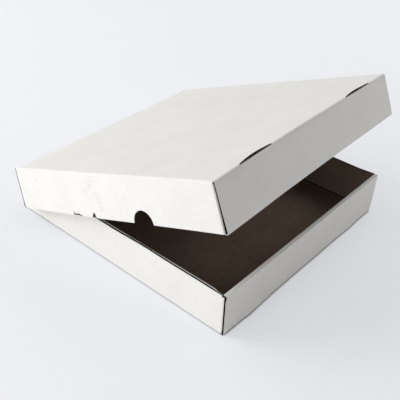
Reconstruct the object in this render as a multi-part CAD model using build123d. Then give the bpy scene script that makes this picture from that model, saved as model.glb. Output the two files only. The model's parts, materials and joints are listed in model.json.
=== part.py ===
"""Pizza box folded from one sheet of corrugated board: a tray and the lid hinged along its rear wall.

Millimetres, +Z up, front towards -Y, origin on the table under the middle of the tray.
"""
import os
from math import cos, radians, sin

from build123d import *

# Board
board = 1.25  # thickness
fold_inner = 0.6  # inside radius of a folded edge
layer_gap = 0.15  # air between two layers that lie together
edge_gap = 0.3  # cut end of a panel to the face of its neighbour
roll_round = 0.7  # edge radius along the top of a rolled-over wall

# Tray
tray_width = 253.0  # over the side walls
tray_depth = 276.0  # over the front and rear walls
wall_height = 44.5  # side walls and front wall
tray_tab_length = 58.0  # corner tabs, from the outer face of the side wall
tray_slot_start = 30.6  # lock slot, from the outer face of the side wall
tray_slot_length = 36.9

# Lid
lid_top_height = 48.4  # outer face of the closed lid
side_play = 3.0  # side wall of the tray to side flap of the lid
front_play = 0.45  # front wall of the tray to front wall of the lid
lid_front_drop = 44.3  # front wall, from the lid's outer face
lid_tab_length = 60.0  # corner tabs, from the outer face of the side flap
lid_slot_start = 32.1  # lock slot, from the outer face of the side flap
lid_slot_length = 41.0
flap_splay = 6.0  # degrees the free rear end of a side flap leans outward
flap_lean = 2.7  # degrees its front end leans outward
open_angle = 22.2  # degrees the lid stands open
hinge_gap = 0.25  # rounded top of the rear wall to the end of the lid panel

# Lock slots and tabs
slot_bow = 3.1  # widest part of a slot
lock_width = 10.0  # tab of the rolled-over panel that stands in a slot
lock_recess = 0.9  # end of the tab below the outer face

# Thumb notches
notch_radius = 12.2
notch_from_rear = 189.1  # middle of a notch, from the rear end of its flap

# Derived
fold_outer = fold_inner + board
double_wall = 3 * board + 2 * layer_gap
half_width = tray_width / 2
tray_front = -tray_depth / 2
tray_rear = tray_depth / 2
lid_half = half_width + side_play + board
lid_front = tray_front - front_play - double_wall
lid_side_drop = lid_front_drop - board - layer_gap
hinge_y = tray_rear - board / 2
hinge_z = lid_top_height - board / 2
quarter = 90
half_turn = 180

LEFT = (-1, 0, 0)
RIGHT = (1, 0, 0)
FRONT = (0, -1, 0)
REAR = (0, 1, 0)
DOWN = (0, 0, -1)
UP = (0, 0, 1)
ON_AXIS = (Align.NONE, Align.NONE, Align.NONE)


def slab(x0, x1, y0, y1, z0, z1):
    """Flat panel between two corners."""
    return Pos(x0, y0, z0) * Box(x1 - x0, y1 - y0, z1 - z0, align=(Align.MIN, Align.MIN, Align.MIN))


def bend(origin, start, axis, length, inner=fold_inner, arc=quarter):
    """Board bent round an axis, from the start direction on."""
    outside = Cylinder(inner + board, length, arc_size=arc, align=ON_AXIS)
    inside = Cylinder(inner, length, arc_size=arc, align=ON_AXIS)
    return Plane(origin=origin, x_dir=start, z_dir=axis) * (outside - inside)


def slot_cutter(middle):
    """Bow-shaped slot behind the outer layer of a front wall, in that wall's own frame."""
    half = middle[1] / 2
    near = board + edge_gap / 2
    line = Line((-half, near), (half, near))
    bow = ThreePointArc((half, near), (0, near + slot_bow), (-half, near))
    face = make_face([line, bow])
    return Pos(middle[0], 0, -board) * extrude(face, 3 * board)


def front_wall(half, height, slots):
    """Rolled-over front wall standing on a panel: outer face at y = 0, panel's outer face at z = 0."""
    reach = half - edge_gap
    inside = half - board - 2 * edge_gap
    under = height - board
    back = double_wall - board
    fold = bend((-reach, fold_outer, fold_outer), FRONT, RIGHT, 2 * reach)
    outer = slab(-reach, reach, 0, board, fold_outer, under)
    top = slab(-reach, reach, 0, double_wall, under, height)
    top = fillet(top.edges().filter_by(Axis.X).group_by(Axis.Z)[-1], roll_round)
    inner = slab(-inside, inside, back, double_wall, board + layer_gap, under)
    wall = fold + outer + top + inner
    for slot in slots:
        x, length = slot
        wall -= slot_cutter(slot)
        wall += slab(x - length / 2, x + length / 2, 0, board, edge_gap / 2, fold_outer)
        wall += slab(x - lock_width / 2, x + lock_width / 2, back, double_wall, lock_recess, 2 * board)
    return wall


def slot_pair(half, start, length):
    """Middle and length of the two lock slots of a panel."""
    x = half - start - length / 2
    return [(-x, length), (x, length)]


def corner_tab(x, y, z0, z1, length, turn):
    """Tab on the left side wall, bent inward behind the front wall (turn -1) or rear wall (turn 1)."""
    start = LEFT if turn < 0 else REAR
    fold = bend((x + fold_outer, y, z0), start, UP, z1 - z0)
    faces = sorted((y + turn * fold_outer, y + turn * fold_inner))
    return fold + slab(x + fold_outer, x + length, faces[0], faces[1], z0, z1)


def tray_side():
    """Left side wall with both corner tabs, cut back under the roll of the front wall."""
    x = -half_width
    first = tray_front + board + layer_gap + fold_outer
    last = tray_rear - board - layer_gap - fold_outer
    low = fold_outer + layer_gap
    high = wall_height - board - layer_gap
    clear = tray_front + double_wall + layer_gap
    fold_at = (x + fold_outer, tray_front + fold_outer, fold_outer)
    fold = bend(fold_at, DOWN, REAR, tray_depth - 2 * fold_outer)
    wall = slab(x, x + board, first, last, fold_outer, wall_height)
    wall -= slab(x, x + board, first, clear, high, wall_height)
    front_tab = corner_tab(x, first, low, high, tray_tab_length, -1)
    rear_tab = corner_tab(x, last, low, wall_height, tray_tab_length, 1)
    return fold + wall + front_tab + rear_tab


def rear_wall():
    """Rear wall with the rounded hinge crease along its top."""
    reach = half_width - edge_gap
    fold = bend((-reach, tray_rear - fold_outer, fold_outer), DOWN, RIGHT, 2 * reach)
    wall = slab(-reach, reach, tray_rear - board, tray_rear, fold_outer, hinge_z)
    crease = Cylinder(board / 2, 2 * reach, align=ON_AXIS)
    return fold + wall + Plane(origin=(-reach, hinge_y, hinge_z), z_dir=RIGHT) * crease


def tray():
    """Floor with its four walls."""
    slots = slot_pair(half_width, tray_slot_start, tray_slot_length)
    x = half_width - fold_outer
    floor = slab(-x, x, tray_front + fold_outer, tray_rear - fold_outer, 0, board)
    for slot in slots:
        floor -= Pos(0, tray_front, 0) * slot_cutter(slot)
    left = tray_side()
    front = Pos(0, tray_front, 0) * front_wall(half_width, wall_height, slots)
    return floor + left + mirror(left, about=Plane.YZ) + front + rear_wall()


def flap_section(y, tilt):
    """Cross-section of the left side flap with its fold, leaning outward by the tilt."""
    out = Vector(-cos(radians(tilt)), sin(radians(tilt)))
    down = Vector(-sin(radians(tilt)), -cos(radians(tilt)))
    half_way = radians((quarter + tilt) / 2)
    mid = Vector(-sin(radians(quarter) - half_way), cos(radians(quarter) - half_way))
    drop = down * (lid_side_drop - fold_outer)
    edges = [
        ThreePointArc((0, fold_outer), mid * fold_outer, out * fold_outer),
        Line(out * fold_outer, out * fold_outer + drop),
        Line(out * fold_outer + drop, out * fold_inner + drop),
        Line(out * fold_inner + drop, out * fold_inner),
        ThreePointArc(out * fold_inner, mid * fold_inner, (0, fold_inner)),
        Line((0, fold_inner), (0, fold_outer)),
    ]
    origin = (fold_outer - lid_half, y, lid_top_height - fold_outer)
    return Plane(origin=origin, x_dir=RIGHT, z_dir=FRONT) * make_face(edges)


def lid_flap():
    """Left side flap with its thumb notch and its front corner tab, which ends above the roll of the front wall."""
    first = lid_front + board + layer_gap + fold_outer
    low = lid_top_height - lid_side_drop
    high = lid_top_height - fold_outer - layer_gap
    corner = Vector(fold_outer - lid_half, lid_front + fold_outer, lid_top_height - fold_outer)
    lean = radians(flap_lean)
    flap = loft([flap_section(tray_rear, flap_splay), flap_section(first, flap_lean)], ruled=True)
    flap += bend(corner, (-cos(lean), 0, sin(lean)), REAR, first - corner.Y, arc=quarter - flap_lean)
    notch_at = (-2 * lid_half, tray_rear - notch_from_rear, low)
    notch = Cylinder(notch_radius, 2 * lid_half, align=ON_AXIS)
    flap -= Plane(origin=notch_at, z_dir=RIGHT) * notch
    tab = corner_tab(-lid_half, first, low, high, lid_tab_length, -1)
    tab = tab.rotate(Axis(corner, REAR), flap_lean)
    return flap + (tab - slab(-2 * lid_half, 0, lid_front, first, low - lid_front_drop, low))


def closed_lid():
    """Lid in its closed place over the tray."""
    slots = slot_pair(lid_half, lid_slot_start, lid_slot_length)
    x = lid_half - fold_outer
    rear = hinge_y - board / 2 - hinge_gap
    panel = slab(-x, x, lid_front + fold_outer, rear, lid_top_height - board, lid_top_height)
    front_place = Pos(0, lid_front, lid_top_height) * Rot(0, half_turn, 0)
    for slot in slots:
        panel -= front_place * slot_cutter(slot)
    left = lid_flap()
    front = front_place * front_wall(lid_half, lid_front_drop, slots)
    return panel + left + mirror(left, about=Plane.YZ) + front


def lid():
    """Lid standing open on the rear crease."""
    hinge = Axis((0, hinge_y, hinge_z), RIGHT)
    return closed_lid().rotate(hinge, -open_angle)


os.makedirs("parts", exist_ok=True)
export_step(tray(), "parts/tray.step")
export_step(lid(), "parts/lid.step")
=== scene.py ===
import json
import math

import bmesh
import bpy
import numpy as np
from mathutils import Matrix, Vector

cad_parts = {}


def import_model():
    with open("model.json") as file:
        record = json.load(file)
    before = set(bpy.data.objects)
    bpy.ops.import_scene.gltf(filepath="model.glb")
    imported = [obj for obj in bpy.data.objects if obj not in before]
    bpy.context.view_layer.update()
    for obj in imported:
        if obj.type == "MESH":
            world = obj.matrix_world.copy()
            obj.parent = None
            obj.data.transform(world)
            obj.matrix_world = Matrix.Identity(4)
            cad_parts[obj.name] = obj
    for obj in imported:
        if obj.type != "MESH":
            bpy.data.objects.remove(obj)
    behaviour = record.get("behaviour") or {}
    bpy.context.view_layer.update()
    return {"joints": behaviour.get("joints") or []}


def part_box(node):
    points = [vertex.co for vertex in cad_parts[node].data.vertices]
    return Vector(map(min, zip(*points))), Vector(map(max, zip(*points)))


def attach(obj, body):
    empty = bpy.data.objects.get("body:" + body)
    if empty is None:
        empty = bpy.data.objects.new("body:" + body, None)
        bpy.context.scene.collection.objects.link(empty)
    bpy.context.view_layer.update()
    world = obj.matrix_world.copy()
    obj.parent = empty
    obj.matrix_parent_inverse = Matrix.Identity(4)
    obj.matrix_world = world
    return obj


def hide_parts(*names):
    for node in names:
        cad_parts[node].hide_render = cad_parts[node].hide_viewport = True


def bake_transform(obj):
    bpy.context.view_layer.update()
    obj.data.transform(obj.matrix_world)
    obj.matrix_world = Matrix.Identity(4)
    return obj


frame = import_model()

MM = 0.001

# Sizes read from the frame, in millimetres and degrees
tray_low, tray_high = (Vector(round(c / MM, 3) for c in corner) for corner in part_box("tray"))
HALF, FRONT, REAR, TOP = tray_high.x, tray_low.y, tray_high.y, tray_high.z
hinge = frame["joints"][0]
HINGE_Y, HINGE_Z = (c / MM for c in hinge["pos_m"][1:])
OPEN = -hinge["range_deg"][0]

# Sizes of the folded board
MID = TOP - HINGE_Z  # half the board's thickness
BOARD = 2 * MID
FOLD = BOARD + 0.6  # outside radius of a fold
TURN = FOLD - MID  # mid-board radius of a fold
GAP = 0.15  # air between two layers that lie together
EDGE = 0.3  # cut end of a panel to the face of its neighbour
CREASE = 0.4  # half width of the sharp crease along a rolled-over wall
WALL = 3 * BOARD + 2 * GAP  # double front wall
HEIGHT = 44.5  # tray walls
TRAY_TAB, LID_TAB = 58.0, 60.0  # corner tabs
TRAY_SLOT, LID_SLOT = (30.6, 36.9), (32.1, 41.0)  # start and length of the lock slots
BOW = 3.1  # widest part of a slot
TRAY_LIP, LID_LIP = 0.2, 0.5  # outer face of a panel to the end of its front wall in a slot
LOCK, RECESS = 10.0, 0.9  # lock tab: width, end below the outer face
LOCK_TAPER = 0.5  # slant of each side of a lock tab
SIDE_PLAY, FRONT_PLAY = 3.0, 0.45  # tray to lid
LID_HALF = HALF + SIDE_PLAY + BOARD
LID_FRONT = FRONT - FRONT_PLAY - WALL
LID_DROP = 44.3  # front wall of the lid
FLAP_DROP = LID_DROP - BOARD - GAP
LEAN, SPLAY = 2.7, 6.0  # outward lean of a side flap at its front and rear end
BULGE = 1.6  # side flap bowed out along its lower edge
NOTCH_R, NOTCH_Y = 12.2, REAR - 189.1  # thumb notch: radius, middle
STRIP = 4.0  # creased strip: how far it reaches down the rear wall and along the lid
STRIP_TURN = 4.2  # mid-board radius of the creased strip

# Make-up of the corrugated board
LINER, DEPTH, PITCH = 0.17, 3.2, 3.2  # liner thickness, open depth of a cut edge, flute pitch
FLUTE_HALF = 0.085  # half the thickness of the fluted layer
FLUTE_BACK = 0.1  # fluted layer behind the cut
CROSSING = 0.8  # part of a cut that runs across the flutes from which they show
BEVEL = 1.5  # outer liner cut back at the rear end of a lid flap
TORN_LIP = 0.4  # inner liner pressed out along the top of the left tray wall
SLOT_SHADE = 0.7  # height of the cut foot of the front wall in a slot: painted dark as shade on the tray, white on the lid
TRAY_BEND, LID_BEND = 3, 5  # steps of a corner tab's bend that show white; a front tab is painted dark as shade past them
# the groove material is near black: painted shade in the channels of cut edges, on dark ends and in gaps
WHITE, KRAFT, CUT, PAINTED_SHADE, FLUTE = range(5)
FOLDED, RUBBED = 1.0, 0.8  # wear of a fold and of a rolled-over edge; it also sets the painted dark crease shade on the kraft side

# Torn nicks in the lower edge of the left flap: distance from the rear end, depth
NICKS = (
    ((88.7, 0.0), (89.5, 4.4), (90.8, 1.3), (96.5, 2.1), (104.5, 0.0)),
    ((117.1, 0.0), (118.7, 1.2), (119.9, 5.2), (120.9, 3.0), (122.1, 5.8), (123.3, 1.2), (124.5, 0.0)),
)
TORN_OFF = 0.3  # share of a nick that is torn right off

# Smudges on the left flap: distance from its rear end, distance below its fold, strength
SMUDGES = (
    (123, 10, 1.1), (121, 13, 0.8), (114, 16, 1.0), (131, 18, 0.6), (133, 22, 0.8), (133, 26, 1.0),
    (134, 30, 0.9), (135, 33, 1.2), (36, 9, 0.6), (37, 12, 0.7), (38, 20, 0.5), (126, 6, 0.6),
)
SMUDGE_SIZE = (1.2, 3.2)  # down and along the flap
SMUDGE_FADE = (0.3, 1.4)  # where a smudge starts and ends to fade, in parts of its size

# Wear that grows over a stretch: how far it moves the board, then its start and end across, along, up
CRUSHED = (2.6, (HALF - 9, HALF), (FRONT + 25, FRONT), (11, 0))  # tray's right front foot, inward
END_OUT = (1.5, (HALF - 30, HALF), (FRONT + WALL + 15, FRONT + WALL), (0, HEIGHT))  # front wall's right end
BENT = (0.7, (40, 130), (-60, -140), None, (2, 2))  # lid's right front corner, upward
PINCHED = (1.9, (95, 131), (-60, -140), (12, 48), (2, 2))  # the same corner, inward
SHORT = (1.6, (-100, 120), (LID_FRONT + WALL + 40, LID_FRONT + WALL), (TOP, TOP - 44))  # lid front's foot, up
LIFTED = (2.4, (-60, -130), (0, 138), (-30, 48), (2, 1.2))  # lid's left rear corner, upward
DROOPED = (1.1, (-50, -130), (-30, -140), None, (2, 2))  # lid's left front corner, downward

# Other wear of the tray
RIM_LEFT, RIM_RIGHT = 1.5, 0.85  # liners spread apart along the top of the side walls
RIM_DEPTH, RIM_END = 5, 8  # how far that reaches down, and how far it stops before the corners
ROLL_IN, ROLL_RISE = 1.1, (HEIGHT - 6, HEIGHT - 1)  # left end of the front wall's top, inward
WALL_WAVES = ((0.35, 29, 0.6), (0.25, 11.5, 2.0))  # side walls' tops: height, length, start
WALL_IN = 2.5  # depth from the outer face that follows these waves
FOOT_OUT, FOOT_RISE = 0.9, 7  # front wall's foot beside the slots, outward, and how high that reaches
FOOT_AT, FOOT_WIDTH = (-90, 80), 16
FOOT_WAVES = ((0.2, 17, 0.0),)

# Other wear of the lid
BOWED, BOW_MIDDLE, BOW_HALF, BOW_ALONG = 0.8, 20, 110, (-40, -140)  # front edge, upward
DENT, DENT_AT, DENT_SIZE = 0.9, (14 - LID_HALF, 62), (9, 16)  # panel, behind the left flap
ACROSS_WAVE, ALONG_WAVE = ((0.35, 23, 0.8),), ((1.0, 31, 0.4),)  # panel: height, length, start, multiplied
RIPPLE, RIPPLE_ACROSS, RIPPLE_ALONG = 0.2, 11, 17  # slanting ripple: height, lengths
REAR_CORNER, CORNER_SIZE = (0.8, 1.0, 1.4), (3, 4, 9)  # rear corners: inward, forward and down, and size
LEFT_CORNER = 0.3  # share of that at the left
SEAM_EASE, SIDE_EASE = 25, 4  # stretch in which the lid settles towards the creased strip

# Steps of the meshes
STEP, TAB_STEP, STRIP_STEP = 6.0, 8.0, 1.2  # panels, corner tabs, creased strip
BEND_STEP = 15  # degrees of a bend
WALL_STEPS, FLAP_STEPS, FOLD_STEPS, SLOT_STEPS, NOTCH_STEPS = 6, 8, 6, 16, 24
FLUTE_STEP = 0.45
CREASE_LINE = 1.0  # width of the line beside a fold: dulled as wear on the white side, painted dark as crease shade on the kraft side
COLUMN_CLEAR, LOCK_CLEAR = 1.2, 0.8  # least distance of even columns from set ones
SLOT_ROW = 0.6  # least distance of rows behind a slot
MITRE = 0.8  # keeps the inset at a sharp corner short
SHARP = 38  # degrees from which an edge shows sharp
NEAR, SLACK, MARGIN = 0.01, 0.05, 1.0  # play when places are compared: narrow, wider, widest


class Sheet:
    """Middle surface of folded board: welded grids, each point with its place on the flat blank."""

    def __init__(self):
        self.pos, self.flat, self.wear, self.faces, self.seen = [], [], [], [], {}

    def vertex(self, place, wear):
        """Number of the point at a place; a fold's wear goes before that of its neighbours."""
        p, f = place
        key = tuple(round(c, 3) for c in p)
        if key not in self.seen:
            self.seen[key] = len(self.pos)
            self.pos.append(p)
            self.flat.append(f)
            self.wear.append(wear)
        elif wear == FOLDED:
            self.wear[self.seen[key]] = wear
        return self.seen[key]

    def patch(self, rows, cols, place, wear=0.0, skip=None, outside=WHITE):
        """Grid of faces, left out in the columns to skip."""
        for r0, r1 in zip(rows, rows[1:]):
            for c0, c1 in zip(cols, cols[1:]):
                if skip is not None and skip((c0 + c1) / 2):
                    continue
                corners = ((r0, c0), (r1, c0), (r1, c1), (r0, c1))
                ids = [self.vertex(place(*c), wear) for c in corners]
                ids = [v for i, v in enumerate(ids) if v != ids[i - 1]]
                if len(ids) > 2:
                    self.faces.append((ids, outside))


def run(o, h, heading, moves, s=0.0):
    """Points (flat length, out, up) along straight runs and bends; a bend of no radius is a sharp crease."""
    out, a = [(s, o, h)], math.radians(heading)
    for kind, size, amount in moves:
        if kind == "bend" and size == 0:
            a += math.radians(amount)
            continue
        steps = max(1, math.ceil(amount / (BEND_STEP if kind == "bend" else size)))
        for _ in range(steps):
            if kind == "bend":
                turn = math.radians(amount) / steps
                o += size * (math.sin(a + turn) - math.sin(a))
                h += size * (math.cos(a) - math.cos(a + turn))
                a += turn
                s += size * turn
            else:
                o += math.cos(a) * amount / steps
                h += math.sin(a) * amount / steps
                s += amount / steps
            out.append((s, o, h))
    return out


def spread(low, high, step, *extra):
    """Even values from low to high that also hold the extra ones."""
    n = max(1, round((high - low) / step))
    fixed = {round(e, 4) for e in (low, high, *extra) if low <= e <= high}
    even = (round(v, 4) for v in np.linspace(low, high, n + 1))
    clear = [v for v in even if all(abs(v - e) > COLUMN_CLEAR for e in fixed)]
    return sorted(fixed | set(clear))


def slot_pair(half, start, length):
    """Middle and length of the two lock slots of a panel."""
    x = half - start - length / 2
    return [(-x, length), (x, length)]


def in_slot(x, slots):
    """Whether a column lies within a lock slot."""
    return any(abs(x - mid) < length / 2 for mid, length in slots)


def slot_edge(x, slots):
    """Edge of a panel behind its front fold, bowed back at the lock slots."""
    for mid, length in slots:
        half = length / 2
        if abs(x - mid) < half:
            radius = (half * half + BOW * BOW) / (2 * BOW)
            sag = math.sqrt(radius * radius - (x - mid) ** 2) - (radius - BOW)
            return max(FOLD, BOARD + EDGE / 2 + sag)
    return FOLD


def panel_columns(inner, slots, *extra):
    """Columns of a panel, finer at the slots and beside its side folds."""
    extra = list(extra)
    for mid, length in slots:
        lock = [side * (LOCK / 2 + d) for side in (-1, 1) for d in (0, LOCK_TAPER)]
        bow = np.linspace(-length / 2, length / 2, SLOT_STEPS + 1)
        extra += [mid + v for v in lock]
        extra += [mid + v for v in bow if all(abs(v - e) > LOCK_CLEAR for e in lock)]
    return spread(-inner, inner, STEP, CREASE_LINE - inner, inner - CREASE_LINE, *extra)


def panel(sheet, rows, cols, front, slots, up):
    """Floor of the tray or top of the lid, cut back at the lock slots."""
    def place(row, x):
        edge = front + slot_edge(x, slots)
        y = edge if row == 0 else max(rows[row], edge + SLOT_ROW * row)
        return up(x, y, MID), (x, y)

    sheet.patch(range(len(rows)), cols, place)


def front_chain(sheet, half, front, drop, slots, lip, cols, up):
    """Rolled-over front wall: fold, outer layer, flat top, inner layer with its lock tabs."""
    edge, reach, top = front + FOLD, half - EDGE, drop - MID
    lip_end, lip_kind = lip
    wide = [-reach] + cols + [reach]

    def place(p, x):
        return up(x, -p[1], p[2]), (x, edge - p[0])

    fold = run(-edge, MID, 0, [("bend", TURN, 90)])
    sheet.patch(fold, wide, place, FOLDED, lambda x: in_slot(x, slots))
    sharp = [("line", CREASE, CREASE), ("bend", 0, 90), ("line", CREASE, CREASE)]
    across = [("line", WALL, WALL - BOARD - 2 * CREASE)]
    outer = run(-front - MID, FOLD, 90, [("line", STEP, top - CREASE - FOLD)], fold[-1][0])
    roll = run(outer[-1][1], outer[-1][2], 90, sharp + across + sharp, outer[-1][0])
    sheet.patch(outer, wide, place)
    sheet.patch(roll, wide, place, RUBBED)
    for mid, length in slots:
        across_slot = [x for x in cols if abs(x - mid) <= length / 2 + NEAR]
        # the cut foot in a slot takes the lip's material: painted dark shade on the tray, white on the lid
        tip, foot = ((outer[0][0] - FOLD + z, outer[0][1], z) for z in (lip_end, lip_end + SLOT_SHADE))
        sheet.patch([tip, foot], across_slot, place, outside=lip_kind)
        sheet.patch([foot, outer[0]], across_slot, place)
    low = BOARD + GAP
    inner = run(roll[-1][1], roll[-1][2], 270, [("line", STEP, roll[-1][2] - low)], roll[-1][0])

    def inner_place(p, x):
        if p is inner[-1] and any(abs(x - mid) <= LOCK / 2 + NEAR for mid, _ in slots):
            return up(x, -p[1], RECESS), (x, edge - p[0] - low + RECESS)
        return place(p, x)

    sheet.patch(inner, cols, inner_place)


def leaned(o, h, inner, lean):
    """A point of a side wall turned about the middle of its fold."""
    a = math.radians(lean)
    side, down = o - inner, h - FOLD
    return inner + side * math.cos(a) + down * math.sin(a), FOLD - side * math.sin(a) + down * math.cos(a)


def wall_start(inner):
    """Flat distance from the middle of the blank to the end of a side fold."""
    return inner + TURN * math.pi / 2


def corner_tab(sheet, sign, half, y, toward, levels, length, up, bend_shown, lean=0.0):
    """Tab bent in behind the front wall (toward -1, painted near black past its bend as the shade of the gap
    there) or the rear wall (toward 1).
    """
    inner = half - FOLD
    path = run(toward * y, 0, 0, [("bend", TURN, 90), ("line", TAB_STEP, length - FOLD)])

    def place(p, level):
        o, h = leaned(half - MID - p[2], level, inner, lean)
        flat = (sign * (wall_start(inner) + level - FOLD), y + toward * p[0])
        return up(sign * o, toward * p[1], min(h, levels[-1])), flat

    sheet.patch(path[:bend_shown + 1], levels, place)
    # past the white steps a front tab is painted near black as the shade of the gap behind the front wall
    sheet.patch(path[bend_shown:], levels, place, outside=PAINTED_SHADE if toward < 0 else WHITE)


def tray_sheet():
    """Tray: floor, front wall, side walls with their corner tabs, rear wall up to the creased strip."""
    def up(x, y, h):
        return x, y, h

    sheet = Sheet()
    slots = slot_pair(HALF, *TRAY_SLOT)
    inner, reach = HALF - FOLD, HALF - EDGE
    first, last = FRONT + BOARD + GAP + FOLD, REAR - BOARD - GAP - FOLD
    clear = FRONT + WALL + GAP
    cols = panel_columns(inner, slots)
    rows = spread(FRONT + FOLD, REAR - FOLD, STEP, first, last, clear)
    panel(sheet, rows, cols, FRONT, slots, up)
    # the tray's cut foot in each slot is painted dark as shade
    front_chain(sheet, HALF, FRONT, HEIGHT, slots, (TRAY_LIP, PAINTED_SHADE), cols, up)
    low, high = FOLD + GAP, HEIGHT - BOARD - GAP
    steps = [low - FOLD] + [(high - low) / WALL_STEPS] * WALL_STEPS + [HEIGHT - high]
    wall_rows = [y for y in rows if first - NEAR <= y <= last + NEAR]
    fold = run(inner, MID, 0, [("bend", TURN, 90)])
    wall = run(HALF - MID, FOLD, 90, [("line", HEIGHT, step) for step in steps], fold[-1][0])
    levels = [p[2] for p in wall[1:]]
    for sign in (-1, 1):
        def side_place(p, y):
            return up(sign * p[1], y, p[2]), (sign * (inner + p[0]), y)

        sheet.patch(fold, rows, side_place, FOLDED)
        sheet.patch(wall[:-1], wall_rows, side_place)
        sheet.patch(wall[-2:], [y for y in wall_rows if y > clear - NEAR], side_place)
        corner_tab(sheet, sign, HALF, first, -1, levels[:-1], TRAY_TAB, up, TRAY_BEND)
        corner_tab(sheet, sign, HALF, last, 1, levels, TRAY_TAB, up, TRAY_BEND)

    def rear_place(p, x):
        return up(x, p[1], p[2]), (x, REAR - FOLD + p[0])

    wide = [-reach] + cols + [reach]
    fold = run(REAR - FOLD, MID, 0, [("bend", TURN, 90)])
    wall = run(REAR - MID, FOLD, 90, [("line", STEP, HINGE_Z - STRIP - FOLD)], fold[-1][0])
    sheet.patch(fold, wide, rear_place, FOLDED)
    sheet.patch(wall, wide, rear_place)
    return sheet


def nick_depth(sign, y):
    """How far the outer liner is torn at the lower edge of a flap."""
    if sign > 0:
        return 0.0
    return max(float(np.interp(REAR - y, *zip(*nick))) for nick in NICKS)


def flap(sheet, sign, rows, up):
    """Side flap of the lid with its fold, thumb notch, torn nicks and corner tab."""
    inner, first = LID_HALF - FOLD, LID_FRONT + BOARD + GAP + FOLD
    full = FLAP_DROP - FOLD
    parts = [0.0, GAP] + list(np.linspace(0, full, FLAP_STEPS + 1)[1:])

    def lean_at(y):
        return LEAN + (SPLAY - LEAN) * max(0.0, (y - first) / (REAR - first))

    def fold_place(t, y):
        a = math.radians((90 - lean_at(y)) * t)
        o, h = inner + TURN * math.sin(a), FOLD - TURN * math.cos(a)
        return up(sign * o, y, h), (sign * (inner + TURN * a), y)

    def flap_point(down, y):
        o, h = leaned(inner + TURN, FOLD + down, inner, lean_at(y))
        bulge = BULGE * math.sin(math.pi * (y - first) / (REAR - first)) * (down / full) ** 1.5
        return up(sign * (o + bulge), y, h), (sign * (wall_start(inner) + down), y)

    def flap_place(q, y):
        cut = math.sqrt(max(0.0, NOTCH_R ** 2 - (y - NOTCH_Y) ** 2))
        return flap_point(q * (full - max(cut, nick_depth(sign, y))) / full, y)

    def torn_place(share, y):
        return flap_point(full - share * nick_depth(sign, y), y)

    fold_rows = rows + [REAR]
    sheet.patch([t / FOLD_STEPS for t in range(FOLD_STEPS + 1)], fold_rows, fold_place, FOLDED)
    sheet.patch(parts, [y for y in fold_rows if y > first - NEAR], flap_place)
    for nick in NICKS if sign < 0 else ():
        start, end = nick[0][0] - NEAR, nick[-1][0] + NEAR
        torn_rows = [y for y in rows if start < REAR - y < end]
        # the torn faces show the board, painted near black as the shade of the gap behind them
        sheet.patch([1.0, TORN_OFF], torn_rows, torn_place, outside=PAINTED_SHADE)
    beside = sorted([sign * (HALF - EDGE), sign * inner])
    sheet.patch([rows[-1], REAR], beside, lambda y, x: (up(x, y, MID), (x, y)))
    levels = [FOLD + q for q in parts[1:]]
    corner_tab(sheet, sign, LID_HALF, first, -1, levels, LID_TAB, up, LID_BEND, LEAN)


def lid_sheet():
    """Lid in its closed place."""
    def up(x, y, h):
        return x, y, TOP - h

    sheet = Sheet()
    slots = slot_pair(LID_HALF, *LID_SLOT)
    inner, reach = LID_HALF - FOLD, HALF - EDGE
    first = LID_FRONT + BOARD + GAP + FOLD
    cols = panel_columns(inner, slots, -reach, reach)
    arc = [NOTCH_Y + NOTCH_R * math.cos(math.radians(a)) for a in np.linspace(0, 180, NOTCH_STEPS + 1)]
    torn = [REAR - back for nick in NICKS for back, _ in nick]
    rows = spread(LID_FRONT + FOLD, HINGE_Y - STRIP, STEP, first, *arc, *torn)
    panel(sheet, rows, cols, LID_FRONT, slots, up)
    front_chain(sheet, LID_HALF, LID_FRONT, LID_DROP, slots, (LID_LIP, WHITE), cols, up)
    for sign in (-1, 1):
        flap(sheet, sign, rows, up)
    behind = REAR + HINGE_Z + HINGE_Y
    sheet.flat = [(x, behind - y) for x, y in sheet.flat]
    return sheet


def crease_sheet():
    """Bent strip that joins the rear wall to the lid."""
    sheet = Sheet()
    low, reach = HINGE_Z - STRIP, HALF - EDGE
    bend = 90 - OPEN
    straight = STRIP - STRIP_TURN * math.tan(math.radians(bend / 2))
    moves = [("line", STRIP_STEP, straight), ("bend", STRIP_TURN, bend), ("line", STRIP_STEP, straight)]

    def place(p, x):
        return (x, HINGE_Y - p[1], 2 * low - p[2]), (x, p[0])

    sheet.patch(run(0, low, -90, moves), spread(-reach, reach, STEP), place, FOLDED)
    return sheet


def unit(v):
    """Vector of length 1; a zero vector stays zero."""
    return v / max(np.linalg.norm(v), 1e-12)


def oriented(sheet, outward):
    """Bmesh of a sheet whose faces look to the white side."""
    bm = bmesh.new()
    verts = [bm.verts.new(p) for p in sheet.pos]
    for f, _ in sheet.faces:
        bm.faces.new([verts[i] for i in f])
    bm.verts.index_update()
    bmesh.ops.recalc_face_normals(bm, faces=bm.faces)
    bm.normal_update()
    start = min(bm.faces, key=lambda f: (f.calc_center_median() - Vector(outward[0])).length)
    if start.normal.dot(Vector(outward[1])) < 0:
        bmesh.ops.reverse_faces(bm, faces=bm.faces)
    bm.normal_update()
    return bm


def rim_of(bm, mid):
    """Boundary edges, each with the way into the board."""
    rims = {}
    for e in bm.edges:
        if not e.is_boundary:
            continue
        f = e.link_faces[0]
        loop = next(corner for corner in f.loops if corner.edge == e)
        a, b = loop.vert.index, loop.link_loop_next.vert.index
        t, n = unit(mid[b] - mid[a]), np.array(f.normal)
        d = np.array(f.calc_center_median()) - mid[a]
        rims[(a, b)] = unit(d - t * (d @ t) - n * (d @ n))
    return rims


def insets(rims, closed):
    """The way into the board at each point of the open cut edges."""
    found = {}
    for edge, d in rims.items():
        for i in edge if not closed[edge] else ():
            found.setdefault(i, []).append(d)
    inset = {}
    for i, ds in found.items():
        total, apart = np.sum(ds, 0), 1 + float(ds[0] @ ds[-1])
        inset[i] = total / (max(apart, MITRE) if len(ds) > 1 else 1)
    return inset


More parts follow.
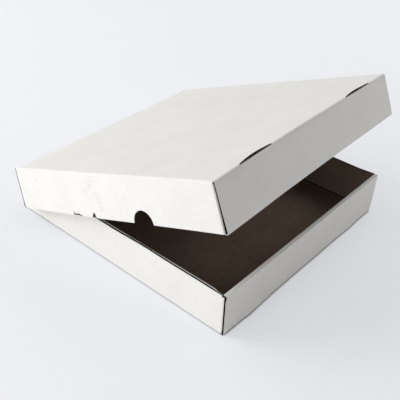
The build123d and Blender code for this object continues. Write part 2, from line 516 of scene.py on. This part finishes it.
def edge_rule(p, half, front, height, drop, slots):
    """How a cut edge ends at a point, where tray and lid are alike.

    open: channel between both liners, painted near black as shade, with flutes where the cut crosses them
    bare: open without flutes
    lock: open without flutes, both liners' ends painted dark as shade
    shaded: open, inner liner's end painted dark as shade
    pressed: open, inner liner's end thick and white
    bevelled: open, outer liner cut back, its end painted dark as shade
    closed: flat end painted dark as shade
    rolled: flat brown end
    """
    inner, first = half - FOLD, front + BOARD + GAP + FOLD
    last = REAR - BOARD - GAP - FOLD
    low = height < FOLD + GAP + SLACK
    if low and abs(p[0]) > inner - NEAR and (p[1] < first + NEAR or p[1] > last - NEAR):
        return "closed"
    if low and p[1] < front + FOLD + BOW + MARGIN and in_slot(p[0], slots):
        return "lock" if p[1] > front + FOLD and height > MID + 2 * SLACK else "bare"
    roll = drop - MID - CREASE
    at_roll = front + WALL - BOARD < p[1] < front + WALL and abs(height - roll) < SLACK
    if abs(p[0]) > inner - NEAR and at_roll:
        return "closed"
    if abs(p[0]) > half - EDGE - NEAR and p[1] < front + WALL and height < roll - MARGIN:
        return "shaded"
    return "open"


def tray_edge(p):
    """How a cut edge of the tray ends at a point."""
    if abs(p[2] - (HINGE_Z - STRIP)) < NEAR and p[1] > REAR - MARGIN:
        return "closed"
    # top of the left wall: inner liner pressed out and white; of the right wall: its end painted dark as
    # shade
    if p[2] > HEIGHT - NEAR and abs(p[0]) > HALF - BOARD and p[1] < REAR - RIM_END:
        return "pressed" if p[0] < 0 else "shaded"
    return edge_rule(p, HALF, FRONT, p[2], HEIGHT, slot_pair(HALF, *TRAY_SLOT))


def lid_edge(p):
    """How a cut edge of the closed lid ends at a point."""
    if p[1] > HINGE_Y - STRIP - NEAR and p[2] > TOP - MARGIN:
        return "closed"
    if p[1] > REAR - NEAR:
        return "bevelled"
    at_end = abs(p[0]) > LID_HALF - EDGE - NEAR and p[1] < LID_FRONT + WALL
    if at_end and p[2] < TOP - LID_DROP + BOARD:
        return "rolled"
    return edge_rule(p, LID_HALF, LID_FRONT, TOP - p[2], LID_DROP, slot_pair(LID_HALF, *LID_SLOT))


def lip_kinds(rules):
    """Materials of the outer and inner liner's cut ends between two points; a dark end is painted shade."""
    dark = "lock" in rules
    outer = PAINTED_SHADE if dark or rules == {"bevelled"} else CUT
    if rules == {"pressed"}:
        return outer, WHITE
    return outer, PAINTED_SHADE if dark or "shaded" in rules else CUT


def board_mesh(name, sheet, outward, rule_at, moved=None):
    """Board with both liners, open cut edges and the flutes that show there."""
    bm = oriented(sheet, outward)
    mid = np.array([v.co for v in bm.verts])
    nor = np.array([v.normal for v in bm.verts])
    flat = np.array(sheet.flat)
    quads = [[v.index for v in f.verts] for f in bm.faces]
    rims = rim_of(bm, mid)
    bm.free()
    rules = [rule_at(p) for p in mid]
    closed = {(a, b): {rules[a], rules[b]} <= {"closed", "rolled"} for a, b in rims}
    inset = insets(rims, closed)
    count = len(mid)
    points = list(mid + nor * MID) + list(mid - nor * MID)
    uvs = list(flat) + list(flat)
    faces = [(q, kind) for q, (_, kind) in zip(quads, sheet.faces)]
    faces += [([i + count for i in reversed(q)], KRAFT) for q in quads]
    ring = {}

    def ring_of(i):
        """Points round the open channel at a point of the cut edge."""
        if i not in ring:
            ring[i] = []
            outer, inner = MID - LINER, (TORN_LIP if rules[i] == "pressed" else LINER) - MID
            for side, back in ((outer, 0), (outer, DEPTH), (inner, DEPTH), (inner, 0)):
                ring[i].append(len(points))
                points.append(mid[i] + nor[i] * side + inset[i] * back)
                uvs.append(flat[i])
            if rules[i] == "bevelled":
                points[i] = points[i] + inset[i] * BEVEL
        return [i] + ring[i] + [i + count]

    for a, b in rims:
        both = {rules[a], rules[b]}
        if closed[(a, b)]:
            # a closed end is painted dark as shade, unless it is a rolled brown end
            faces.append(([a, a + count, b + count, b], CUT if "rolled" in both else PAINTED_SHADE))
            continue
        ladder_a, ladder_b = ring_of(a), ring_of(b)
        outer_lip, inner_lip = lip_kinds(both)
        # the three middle faces of the channel are painted near black as its shade
        for k, kind in enumerate((outer_lip, PAINTED_SHADE, PAINTED_SHADE, PAINTED_SHADE, inner_lip)):
            faces.append(([ladder_a[k], ladder_a[k + 1], ladder_b[k + 1], ladder_b[k]], kind))
    shut = {(a, b): closed[(a, b)] or bool({"bare", "lock"} & {rules[a], rules[b]}) for a, b in rims}
    flutes(mid, nor, flat, inset, shut, points, uvs, faces)
    points = np.array(points)
    if moved is not None:
        points = moved(points)
    return finish_mesh(name, points, uvs, faces, sheet.wear)


def flute_chains(flat, shut):
    """Runs of cut edges that cross the flutes."""
    follow = {}
    for (a, b), is_shut in shut.items():
        d = flat[b] - flat[a]
        length = np.linalg.norm(d)
        if not is_shut and length > 1e-6 and abs(d[0]) > CROSSING * length:
            follow[a] = b
    chains = []
    for a in [a for a in follow if a not in set(follow.values())]:
        chain = [a]
        while chain[-1] in follow:
            chain.append(follow[chain[-1]])
        chains.append(chain)
    return chains


def flutes(mid, nor, flat, inset, shut, points, uvs, faces):
    """Wavy middle layer along the cut edges that cross the flutes."""
    wave = MID - LINER - FLUTE_HALF
    for chain in flute_chains(flat, shut):
        samples = []
        for a, b in zip(chain, chain[1:]):
            n = max(1, math.ceil(abs(flat[b][0] - flat[a][0]) / FLUTE_STEP))
            for k in range(n + (b == chain[-1])):
                samples.append([v[a] * (1 - k / n) + v[b] * k / n for v in (mid, nor, flat, inset)])
        rings = []
        for p, n, f, d in samples:
            height = wave * math.sin(2 * math.pi * f[0] / PITCH)
            rings.append([])
            for side, back in ((1, FLUTE_BACK), (1, DEPTH), (-1, DEPTH), (-1, FLUTE_BACK)):
                rings[-1].append(len(points))
                points.append(p + n * (height + side * FLUTE_HALF) + d * back)
                uvs.append(f)
        for r, s in zip(rings, rings[1:]):
            for k in range(4):
                faces.append(([r[k], r[(k + 1) % 4], s[(k + 1) % 4], s[k]], FLUTE))
        faces.append((list(reversed(rings[0])), FLUTE))
        faces.append((list(rings[-1]), FLUTE))


def finish_mesh(name, points, uvs, faces, wear):
    """Object from points and faces, with its flat places, its wear (which also sets the kraft's painted
    crease shade) and all materials.
    """
    mesh = bpy.data.meshes.new(name)
    mesh.from_pydata((np.asarray(points) * MM).tolist(), [], [f for f, _ in faces])
    layer = mesh.uv_layers.new(name="flat")
    uvs = np.asarray(uvs) * MM
    for poly, (_, kind) in zip(mesh.polygons, faces):
        poly.material_index = kind
        poly.use_smooth = True
    loops = np.array([loop.vertex_index for loop in mesh.loops])
    layer.uv.foreach_set("vector", uvs[loops].astype(np.float32).ravel())
    # the wear, which also sets how far the kraft side is painted dark as crease shade
    wear_and_crease_shade = np.zeros(len(points), np.float32)
    wear_and_crease_shade[:2 * len(wear)] = list(wear) * 2
    mesh.attributes.new("wear", "FLOAT", "POINT").data.foreach_set("value", wear_and_crease_shade)
    bm = bmesh.new()
    bm.from_mesh(mesh)
    bmesh.ops.recalc_face_normals(bm, faces=bm.faces)
    bm.to_mesh(mesh)
    bm.free()
    mesh.set_sharp_from_angle(angle=math.radians(SHARP))
    for kind in (WHITE, KRAFT, CUT, PAINTED_SHADE, FLUTE):
        mesh.materials.append(materials[kind])
    obj = bpy.data.objects.new(name, mesh)
    bpy.context.scene.collection.objects.link(obj)
    return obj


class Nodes:
    """Short way to lay out the nodes of a material or world."""

    def __init__(self, owner, shader):
        owner.use_nodes = True
        self.tree = owner.node_tree
        self.shader = self.tree.nodes[shader]

    def add(self, kind, inputs=None, **props):
        """New node; an input is a link or a plain value."""
        node = self.tree.nodes.new("ShaderNode" + kind)
        for key, value in props.items():
            setattr(node, key, value)
        for key, value in (inputs or {}).items():
            if isinstance(value, bpy.types.NodeSocket):
                self.tree.links.new(value, node.inputs[key])
            else:
                node.inputs[key].default_value = value
        return node

    def set(self, **values):
        """Plain values of the shader; an underscore in a name stands for a space."""
        for name, value in values.items():
            self.shader.inputs[name.replace("_", " ")].default_value = value

    def link(self, out, socket):
        self.tree.links.new(out, self.shader.inputs[socket])

    def math(self, op, a, b=0.0):
        return self.add("Math", {0: a, 1: b}, operation=op).outputs[0]

    def vector(self, op, a, b=(0, 0, 0)):
        return self.add("VectorMath", {0: a, 1: b}, operation=op).outputs

    def total(self, *parts):
        """Sum of values, each with its weight."""
        found = 0.0
        for value, weight in parts:
            found = self.math("ADD", self.math("MULTIPLY", value, weight), found)
        return found

    def between(self, value, low, high, start, end):
        """Value mapped from one range to another and held at both ends."""
        ends = {"From Min": low, "From Max": high, "To Min": start, "To Max": end}
        return self.add("MapRange", {"Value": value, **ends}).outputs[0]

    def noise(self, vector, scale, detail=2.0, rough=0.5):
        inputs = {"Vector": vector, "Scale": scale, "Detail": detail, "Roughness": rough}
        return self.add("TexNoise", inputs).outputs["Fac"]

    def ramp(self, fac, low, high, dark, light):
        node = self.add("ValToRGB", {"Fac": fac})
        for element, at, colour in zip(node.color_ramp.elements, (low, high), (dark, light)):
            element.position = at
            element.color = (*colour, 1)
        return node.outputs[0]

    def mix(self, share, first, second):
        """Two colours mixed by a share of the second."""
        return self.add("Mix", {0: share, 6: first, 7: second}, data_type="RGBA").outputs[2]

    def occlusion(self, reach):
        """Share of open space within reach."""
        return self.add("AmbientOcclusion", {"Distance": reach}, samples=8).outputs["AO"]

    def bump(self, height, strength, distance):
        node = self.add("Bump", {"Height": height, "Strength": strength, "Distance": distance})
        self.link(node.outputs[0], "Normal")

    def pictured(self):
        """1 for rays of the picture: from the camera, in reflections and through clear things."""
        path = self.add("LightPath").outputs
        seen = self.math("MAXIMUM", path["Is Camera Ray"], path["Is Glossy Ray"])
        return self.math("MAXIMUM", seen, path["Is Transmission Ray"])


def smudges(n, flat, marks):
    """Faint grey marks, each a short soft dash along the flap."""
    wide, long = (1 / (size * MM) for size in SMUDGE_SIZE)
    found = 0.0
    for back, down, strength in marks:
        at = (-(wall_start(LID_HALF - FOLD) + down) * MM, (HINGE_Z + HINGE_Y + back) * MM, 0)
        away = n.vector("SUBTRACT", flat, at)[0]
        length = n.vector("LENGTH", n.vector("MULTIPLY", away, (wide, long, 0))[0])["Value"]
        found = n.math("ADD", n.between(length, *SMUDGE_FADE, strength, 0.0), found)
    return n.math("MULTIPLY", found, n.noise(flat, scale=700.0, detail=3.0, rough=0.7))


def liner_material(name, light, dark, rough, washboard, fibre, crease_shade_colour=None, marks=()):
    """Paper liner: mottled colour, faint lines over the flutes (bumped, and painted into the colour as a
    faint shade of their ridges), fibres, dull folds or folds painted dark as crease shade, and smudges.
    """
    mat = bpy.data.materials.new(name)
    n = Nodes(mat, "Principled BSDF")
    n.set(Roughness=rough, Specular_IOR_Level=0.12)
    flat = n.add("UVMap", uv_map="flat").outputs[0]
    x = n.add("SeparateXYZ", {"Vector": flat}).outputs["X"]
    wobble = n.noise(flat, scale=9.0)
    lines = n.math("SINE", n.total((x, 2 * math.pi / (PITCH * MM)), (wobble, 3.0)))
    blotch = n.noise(flat, scale=22.0, detail=3.0, rough=0.6)
    mottle = n.noise(flat, scale=210.0, detail=4.0, rough=0.65)
    along = n.add("Mapping", {"Vector": flat, "Scale": (1.0, 0.25, 1.0)}).outputs[0]
    fibres = n.noise(along, scale=2600.0, detail=3.0, rough=0.7)
    wear_and_crease_shade = n.add("Attribute", attribute_name="wear").outputs["Fac"]
    rubbed = n.math("MULTIPLY", wear_and_crease_shade, n.noise(flat, scale=480.0, detail=3.0, rough=0.7))
    # the lines over the flutes go into the colour as a painted faint shade of their ridges, and into the bump
    # below
    tone = n.total((blotch, 0.38), (mottle, 0.42), (fibres, 0.2), (lines, 0.012), (rubbed, -0.22))
    if marks:
        tone = n.math("SUBTRACT", tone, smudges(n, flat, marks))
    colour = n.ramp(tone, 0.3, 0.7, dark, light)
    # on the kraft side the folds are painted near black as the shade in their creases
    if crease_shade_colour:
        colour = n.mix(wear_and_crease_shade, colour, (*crease_shade_colour, 1))
    n.link(colour, "Base Color")
    n.bump(n.total((lines, washboard), (fibres, fibre), (mottle, 3 * fibre)), 1.0, MM)
    return mat


def edge_material(name, light, dark, rough):
    """Torn paper grain on the cut board."""
    mat = bpy.data.materials.new(name)
    n = Nodes(mat, "Principled BSDF")
    n.set(Roughness=rough, Specular_IOR_Level=0.05)
    grain = n.noise(n.add("TexCoord").outputs["Object"], scale=1500.0, detail=3.0, rough=0.7)
    n.link(n.ramp(grain, 0.3, 0.7, dark, light), "Base Color")
    n.bump(grain, 0.5, 0.1 * MM)
    return mat


materials = {
    WHITE: liner_material(
        "white_liner", light=(0.83, 0.82, 0.79), dark=(0.735, 0.725, 0.695), rough=0.6,
        washboard=0.012, fibre=0.006, marks=SMUDGES,
    ),
    KRAFT: liner_material(
        "kraft_liner", light=(0.225, 0.17, 0.125), dark=(0.125, 0.09, 0.065), rough=0.75,
        # the fold colour is the painted near-black shade in the kraft creases
        washboard=0.006, fibre=0.02, crease_shade_colour=(0.03, 0.022, 0.016),
    ),
    CUT: edge_material("cut_liner", (0.52, 0.47, 0.4), (0.36, 0.31, 0.25), 0.8),
    # near black: painted shade of the deep channel inside a cut edge and of dark gaps and ends
    PAINTED_SHADE: edge_material("board_inside_painted_shade", (0.012, 0.009, 0.007), (0.007, 0.005, 0.004), 0.9),
    FLUTE: edge_material("flutes", (0.26, 0.19, 0.13), (0.17, 0.12, 0.08), 0.85),
}


def rise(v, low, high):
    """0 at low, 1 at high and held beyond both."""
    return np.clip((v - low) / (high - low), 0, 1)


def hump(v, at, width):
    """Bell curve that is 1 in its middle."""
    return np.exp(-((v - at) / width) ** 2)


def waves(v, parts):
    """Sum of sine waves: height, length, start."""
    return sum(height * np.sin(v / length + start) for height, length, start in parts)


def grown(x, y, z, amount, across, along, up=None, ease=(1, 1)):
    """How far a wear that grows over a stretch moves each point; ease is the power across and along."""
    share = rise(x, *across) ** ease[0] * rise(y, *along) ** ease[1]
    if up is not None:
        share = share * rise(z, *up)
    return amount * share


def tray_wear(points):
    """Wavy side walls with open rims, front wall moved at its foot and both ends, one foot crushed."""
    x, y, z = points.T
    wide = np.abs(x)
    layer = rise(wide, HALF, HALF - BOARD) * (wide > HALF - BOARD - 2 * SLACK)
    rim = layer * rise(z, HEIGHT - RIM_DEPTH, HEIGHT) ** 2 * (np.abs(y) < REAR - RIM_END)
    rim = rim * np.where(x < 0, RIM_LEFT, RIM_RIGHT)
    on_top = (y < FRONT + WALL + SLACK) & (z > HEIGHT - BOARD - SLACK)
    rolled = (on_top | (y < FRONT + BOARD + SLACK)) * (x < FOLD - HALF - EDGE) * rise(z, *ROLL_RISE)
    moved = ROLL_IN * rolled - grown(x, y, z, *CRUSHED) + grown(x, y, z, *END_OUT)
    x = x - np.sign(x) * rim + moved
    side = np.sign(x) * (np.abs(x) > HALF - WALL_IN) * (z / HEIGHT) ** 2 * (1 - (y / REAR) ** 4)
    foot = rise(z, FOOT_RISE, 0) ** 2 * (y < FRONT + WALL)
    push = FOOT_OUT * sum(hump(x, at, FOOT_WIDTH) for at in FOOT_AT) + waves(x, FOOT_WAVES)
    return np.stack([x + side * waves(y, WALL_WAVES), y - push * foot, z], 1)


def lid_wear(points):
    """Uneven panel with a shallow dent, bowed front edge, front wall short at its right, bent corners."""
    x, y, z = points.T
    on_panel = z > TOP - FOLD
    bowed = np.clip(1 - ((x - BOW_MIDDLE) / BOW_HALF) ** 2, 0, 1) * rise(y, *BOW_ALONG) ** 2
    up = grown(x, y, z, *BENT) + BOWED * bowed + grown(x, y, z, *SHORT)
    x, z = x - grown(x, y, z, *PINCHED), z + up
    middle, reach = (LID_FRONT + HINGE_Y) / 2, (HINGE_Y - LID_FRONT) / 2
    inside = np.clip(1 - (x / LID_HALF) ** 4, 0, 1) * np.clip(1 - ((y - middle) / reach) ** 4, 0, 1)
    ripple = RIPPLE * np.sin(x / RIPPLE_ACROSS + y / RIPPLE_ALONG)
    uneven = waves(x, ACROSS_WAVE) * waves(y, ALONG_WAVE) + ripple
    dent = DENT * hump(x, DENT_AT[0], DENT_SIZE[0]) * hump(y, DENT_AT[1], DENT_SIZE[1])
    wide, deep, high = CORNER_SIZE
    corner = hump(np.abs(x), LID_HALF, wide) * hump(y, REAR, deep) * hump(z, TOP, high)
    corner = corner * np.where(x > 0, 1.0, LEFT_CORNER)
    inward, forward, down = REAR_CORNER
    x, y = x - np.sign(x) * inward * corner, y - forward * corner
    seam = HINGE_Y - STRIP
    free = np.maximum(rise(y, seam, seam - SEAM_EASE), rise(x, EDGE - HALF, EDGE - HALF - SIDE_EASE))
    up = on_panel * (inside * uneven - dent) + free * grown(x, y, z, *LIFTED)
    return np.stack([x, y, z + up - grown(x, y, z, *DROOPED) - down * corner], 1)


hinge_turn = Matrix.Translation((0, HINGE_Y, HINGE_Z)) @ Matrix.Rotation(math.radians(-OPEN), 4, "X")
hinge_turn = np.array(hinge_turn @ Matrix.Translation((0, -HINGE_Y, -HINGE_Z)))


def opened_lid(points):
    """Worn lid turned about the hinge."""
    return lid_wear(points) @ hinge_turn[:3, :3].T + hinge_turn[:3, 3]


# A place on each sheet, and where its white side looks there
floor_side = ((0, 0, MID), (0, 0, -1))
top_side = ((0, 0, TOP - MID), (0, 0, 1))
rear_side = ((0, HINGE_Y, HINGE_Z - STRIP), (0, 1, 0))
tray = board_mesh("tray_board", tray_sheet(), floor_side, tray_edge, tray_wear)
lid = board_mesh("lid_board", lid_sheet(), top_side, lid_edge, opened_lid)
crease = board_mesh("hinge_crease", crease_sheet(), rear_side, lambda p: "closed")
for piece, body in ((tray, "tray"), (lid, "lid")):
    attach(piece, body)
    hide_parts(body)
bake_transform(crease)

# Studio, in metres
FLOOR_HALF, FLOOR_Z = 6.0, -0.0003
FLOOR_LIGHT, FLOOR_DARK = (0.87, 0.878, 0.905), (0.85, 0.858, 0.885)
# the second colour is the dark of the floor's painted contact shadow
FLOOR_SEEN, FLOOR_SHADE_COLOUR = (0.404, 0.408, 0.421, 1), (0.02, 0.02, 0.022, 1)
FLOOR_GLOW = 0.483  # share of white that the floor shows by itself
GLOW_COLOUR, SKY_COLOUR = (0.98, 0.99, 1.03, 1), (0.975, 0.985, 1.0, 1)
SKY_LIGHT, SKY_SEEN = 0.02, 0.82  # strength of the world as a light and in the picture
SHADOW_NEAR, SHADOW_FAR = 2 * MM, 40 * MM  # reach of the painted contact shadow line and of the painted soft shadow round the box
LEFT_SIDE = (-HALF * MM, (6 - HALF) * MM)  # stretch at the left wall over which both grow to the right
REAR_SIDE = (40 * MM, 110 * MM)  # stretch over which the painted soft shadow grows to the rear
LINE_LEFT, LINE_FULL, SOFT_FULL = 0.3, 1.5, 0.13  # power of the painted shadow line, depth of the painted soft shadow
AIM = (0, 0, 0.05)
LAMPS = (  # name, place, size, power
    ("side", (-2.05, -0.1, 1.5), 1.0, 7.2),
    ("low_side", (-1.5, 0.18, 0.42), 0.7, 9.3),
    ("rear_left", (-1.0, 1.3, 1.0), 1.0, 12.5),
    ("rear", (-0.6, 2.2, 1.8), 2.0, 38.5),
    ("right", (2.0, 0.6, 1.6), 2.0, 16.0),
    ("front_right", (1.3, -1.3, 0.9), 1.5, 18.0),
)
CAMERA_AT = (-444.403, -369.77, 419.002)  # millimetres
AZIMUTH, ELEVATION, ROLL = -50.343, 35.276, 2.381  # degrees
FOCAL, PICTURE = 659.598, 400  # focal length and width of the picture, in pixels
SENSOR = 36.0


def painted_floor_shade(n, place):
    """Share of light left on the floor beside the box, under a painted dark contact line and a painted soft
    shadow.
    """
    across, along = n.add("SeparateXYZ", {"Vector": place}).outputs[:2]
    power = n.between(across, *LEFT_SIDE, LINE_LEFT, LINE_FULL)
    line = n.math("POWER", n.occlusion(SHADOW_NEAR), power)
    front_depth = n.between(across, *LEFT_SIDE, 0.0, SOFT_FULL)
    depth = n.math("MAXIMUM", front_depth, n.between(along, *REAR_SIDE, 0.0, SOFT_FULL))
    soft = n.math("MULTIPLY", depth, n.math("SUBTRACT", 1.0, n.occlusion(SHADOW_FAR)))
    return n.math("MULTIPLY", line, n.math("SUBTRACT", 1.0, soft))


def floor():
    """Pale floor: lit as any surface, lifted towards white where the picture shows it, and painted darker
    beside the box as its shadow.
    """
    mat = bpy.data.materials.new("studio_floor")
    n = Nodes(mat, "Principled BSDF")
    n.set(Roughness=0.7, Specular_IOR_Level=0.2, Emission_Color=GLOW_COLOUR)
    place = n.add("TexCoord").outputs["Object"]
    seen = n.pictured()
    paper = n.ramp(n.noise(place, scale=1.5), 0.0, 1.0, FLOOR_DARK, FLOOR_LIGHT)
    # the floor's colour and glow are darkened beside the box as painted shadow
    floor_shade = painted_floor_shade(n, place)
    n.link(n.mix(floor_shade, FLOOR_SHADE_COLOUR, n.mix(seen, paper, FLOOR_SEEN)), "Base Color")
    n.link(n.math("MULTIPLY", n.math("MULTIPLY", seen, FLOOR_GLOW), floor_shade), "Emission Strength")
    mesh = bpy.data.meshes.new("studio_floor")
    corners = [(x * FLOOR_HALF, y * FLOOR_HALF, FLOOR_Z) for x, y in ((-1, -1), (1, -1), (1, 1), (-1, 1))]
    mesh.from_pydata(corners, [], [(0, 1, 2, 3)])
    mesh.materials.append(mat)
    obj = bpy.data.objects.new("studio_floor", mesh)
    bpy.context.scene.collection.objects.link(obj)


def world():
    """Dim world that looks pale in the picture and in reflections."""
    studio = bpy.data.worlds.new("studio")
    n = Nodes(studio, "Background")
    n.set(Color=SKY_COLOUR)
    n.link(n.between(n.pictured(), 0.0, 1.0, SKY_LIGHT, SKY_SEEN), "Strength")
    bpy.context.scene.world = studio


def area_light(name, at, size, power):
    """Square lamp turned towards the box."""
    lamp = bpy.data.lights.new(name, "AREA")
    lamp.size = size
    lamp.energy = power
    obj = bpy.data.objects.new(name, lamp)
    obj.location = at
    obj.rotation_euler = (Vector(at) - Vector(AIM)).to_track_quat("Z", "Y").to_euler()
    bpy.context.scene.collection.objects.link(obj)


def camera():
    """Camera of the photo's view."""
    az, el, ro = (math.radians(v) for v in (AZIMUTH, ELEVATION, ROLL))
    back = Vector((math.sin(az) * math.cos(el), -math.cos(az) * math.cos(el), math.sin(el)))
    right = Vector((0, 0, 1)).cross(back).normalized()
    upward = back.cross(right)
    r = right * math.cos(ro) + upward * math.sin(ro)
    u = upward * math.cos(ro) - right * math.sin(ro)
    data = bpy.data.cameras.new("camera")
    data.sensor_width = SENSOR
    data.sensor_fit = "HORIZONTAL"
    data.lens = FOCAL / PICTURE * SENSOR
    data.clip_start = 0.01
    obj = bpy.data.objects.new("camera", data)
    obj.matrix_world = Matrix.Translation(Vector(CAMERA_AT) * MM) @ Matrix((r, u, back)).transposed().to_4x4()
    bpy.context.scene.collection.objects.link(obj)
    bpy.context.scene.camera = obj


floor()
world()
for lamp in LAMPS:
    area_light(*lamp)
camera()
bpy.context.scene.view_settings.view_transform = "Standard"
